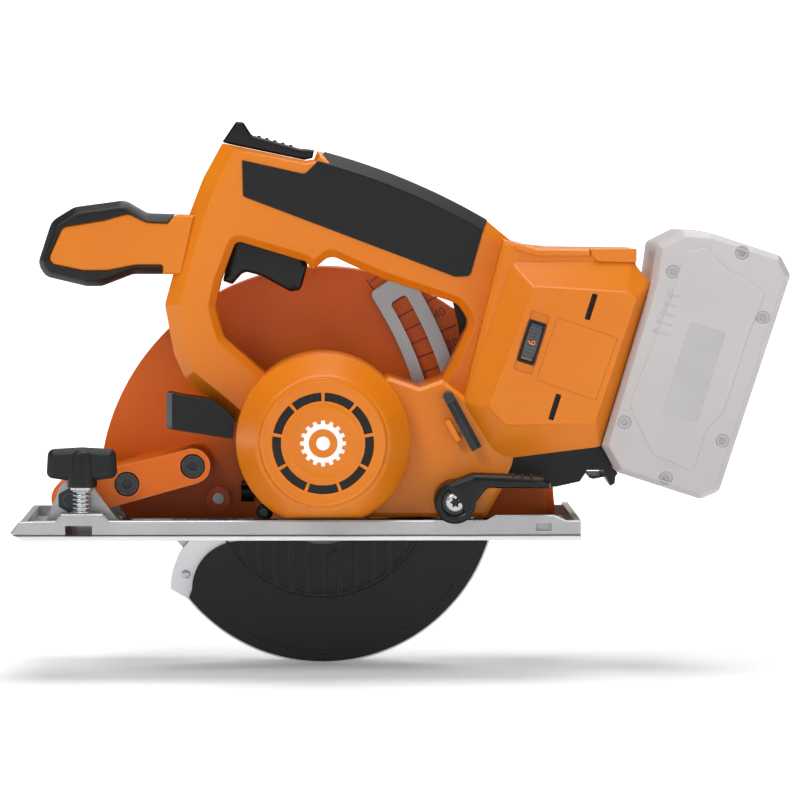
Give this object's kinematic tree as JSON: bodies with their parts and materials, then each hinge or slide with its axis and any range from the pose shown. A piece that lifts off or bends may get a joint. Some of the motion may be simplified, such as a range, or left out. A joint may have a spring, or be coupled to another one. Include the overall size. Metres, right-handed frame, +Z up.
{
  "type": "cordless circular saw",
  "caption": "Battery circular saw for metal with a swinging lower guard, a depth-pivoting base plate, a rear handle and an auxiliary front handle.",
  "frame": {"origin": "on the sole of the base plate, under the blade spindle, in the parting plane of the handle", "axes": "+X to the rear of the saw (battery), +Y to the blade side, +Z up from the sole"},
  "size_m": [0.3627, 0.1395, 0.2602],
  "materials": {
    "orange_plastic": "satin moulded nylon",
    "orange_paint": "powder-painted cast magnesium",
    "soft_grip": "fine matt texture",
    "black_plastic": "fine matt texture",
    "clear_plastic": "clear moulded",
    "cast_aluminium": "tumbled and machined",
    "bright_aluminium": "bright",
    "grey_steel": "zinc plated",
    "bright_steel": "ground",
    "black_steel": "black oxide",
    "plated_screw": "bright zinc",
    "pale_grey_plastic": "matt, lightly mottled",
    "copper_wound": "varnished copper over laminations",
    "magnet_black": "epoxy coated",
    "cell_sleeve": "heat-shrunk sleeve",
    "board_green": "lacquered board"
  },
  "bodies": {
    "base": {"base_plate": "cast_aluminium", "front_bracket": "cast_aluminium", "pivot_bolt": "black_steel", "depth_arc": "grey_steel", "base_screws": "plated_screw", "clamp_spring": "bright_steel"},
    "clamp_follower": {"clamp_washer": "bright_steel"},
    "clamp": {"clamp_knob": "black_plastic", "clamp_stud": "bright_steel"},
    "saw": {"housing_left": "orange_plastic", "housing_right": "orange_plastic", "main_grip_left": "soft_grip", "main_grip_right": "soft_grip", "housing_screws": "black_steel", "motor_cap": "orange_plastic", "vent_screen": "black_plastic", "front_handle": "orange_plastic", "front_handle_grip": "soft_grip", "work_light": "black_plastic", "work_light_lens": "clear_plastic", "switch_module": "black_plastic", "dial_bezel": "black_plastic", "upper_guard": "orange_paint", "guard_cover": "orange_paint", "cover_screws": "black_steel", "front_arm": "orange_paint", "arm_screws": "black_steel", "stop_pin": "grey_steel", "stator": "copper_wound", "bearings": "bright_steel", "bearing_plate": "cast_aluminium", "gear_housing": "cast_aluminium", "battery_foot": "black_plastic", "terminal_block": "black_plastic", "control_board": "board_green"},
    "switch_trigger": {"trigger": "black_plastic"},
    "switch_lock": {"lock_slider": "black_plastic"},
    "dial": {"speed_dial": "black_plastic"},
    "clamp_lever": {"depth_lever": "black_plastic", "lever_screw": "plated_screw", "clamp_bolt": "bright_steel"},
    "swing_guard": {"guard_cheek": "black_plastic", "lower_guard": "bright_aluminium", "guard_lever": "black_plastic"},
    "blade_group": {"blade": "bright_steel", "spindle": "bright_steel", "blade_flanges": "grey_steel", "blade_bolt": "black_steel", "drive_gear": "bright_steel"},
    "rotor_group": {"motor_shaft": "bright_steel", "rotor": "magnet_black", "fan": "black_plastic"},
    "lock_button": {"spindle_lock": "black_plastic"},
    "wrench": {"hex_key": "black_steel"},
    "battery": {"battery_case": "pale_grey_plastic", "battery_base": "pale_grey_plastic", "battery_cells": "cell_sleeve", "battery_screws": "grey_steel"},
    "battery_button": {"battery_latch": "pale_grey_plastic"}
  },
  "joints": [
    {"name": "depth_pivot", "type": "hinge", "parent": "base", "child": "saw", "pos_m": [-0.118, 0, 0.018], "axis": [0, -1, 0], "range_deg": [0, 29]},
    {"name": "clamp_lift", "type": "slide", "parent": "base", "child": "clamp_follower", "axis": [0, 0, 1], "range_m": [-0.001, 0.002], "deforming": ["clamp_spring"]},
    {"name": "clamp_turn", "type": "hinge", "parent": "clamp_follower", "child": "clamp", "pos_m": [-0.1118, -0.0455, 0.0246], "axis": [0, 0, 1], "range_deg": [-360, 720]},
    {"name": "trigger_pull", "type": "hinge", "parent": "saw", "child": "switch_trigger", "pos_m": [-0.039, 0, 0.136], "axis": [0, -1, 0], "range_deg": [0, 8], "stiffness_Nm_per_rad": 1.5, "springref_deg": -5.73},
    {"name": "switch_lock_slide", "type": "slide", "parent": "saw", "child": "switch_lock", "axis": [-0.9788, 0, 0.2048], "range_m": [0, 0.004], "stiffness_N_per_m": 400, "springref_m": -0.002},
    {"name": "dial_turn", "type": "hinge", "parent": "saw", "child": "dial", "pos_m": [0.097, -0.0296, 0.0915], "axis": [0.9542, 0, -0.299], "range_deg": [-135, 135]},
    {"name": "depth_lever_swing", "type": "hinge", "parent": "saw", "child": "clamp_lever", "pos_m": [0.0612, -0.045, 0.018], "axis": [0, -1, 0], "range_deg": [0, 40]},
    {"name": "guard_swing", "type": "hinge", "parent": "saw", "child": "swing_guard", "pos_m": [0, 0.042, 0.018], "axis": [0, -1, 0], "range_deg": [0, 150], "stiffness_Nm_per_rad": 0.12, "springref_deg": -45.84},
    {"name": "blade_spin", "type": "hinge", "parent": "saw", "child": "blade_group", "pos_m": [0, 0.042, 0.018], "axis": [0, 1, 0], "continuous": true},
    {"name": "motor_spin", "type": "hinge", "parent": "saw", "child": "rotor_group", "pos_m": [0, 0, 0.046], "axis": [0, 1, 0], "continuous": true},
    {"name": "spindle_lock_press", "type": "slide", "parent": "saw", "child": "lock_button", "axis": [1, 0, 0], "range_m": [0, 0.005], "stiffness_N_per_m": 300, "springref_m": -0.003},
    {"name": "wrench_pull", "type": "slide", "parent": "saw", "child": "wrench", "axis": [0, -1, 0], "range_m": [0, 0.056]},
    {"name": "battery_slide", "type": "slide", "parent": "saw", "child": "battery", "axis": [0.299, 0, 0.9542], "range_m": [0, 0.085]},
    {"name": "battery_button_press", "type": "slide", "parent": "battery", "child": "battery_button", "axis": [-0.299, 0, -0.9542], "range_m": [0, 0.0025], "stiffness_N_per_m": 500, "springref_m": -0.002}
  ],
  "couplings": [
    {"joint": "motor_spin", "follows": "blade_spin", "ratio": -3.3077},
    {"joint": "clamp_turn", "follows": "clamp_lift", "rad_per_m": 6283.2}
  ]
}
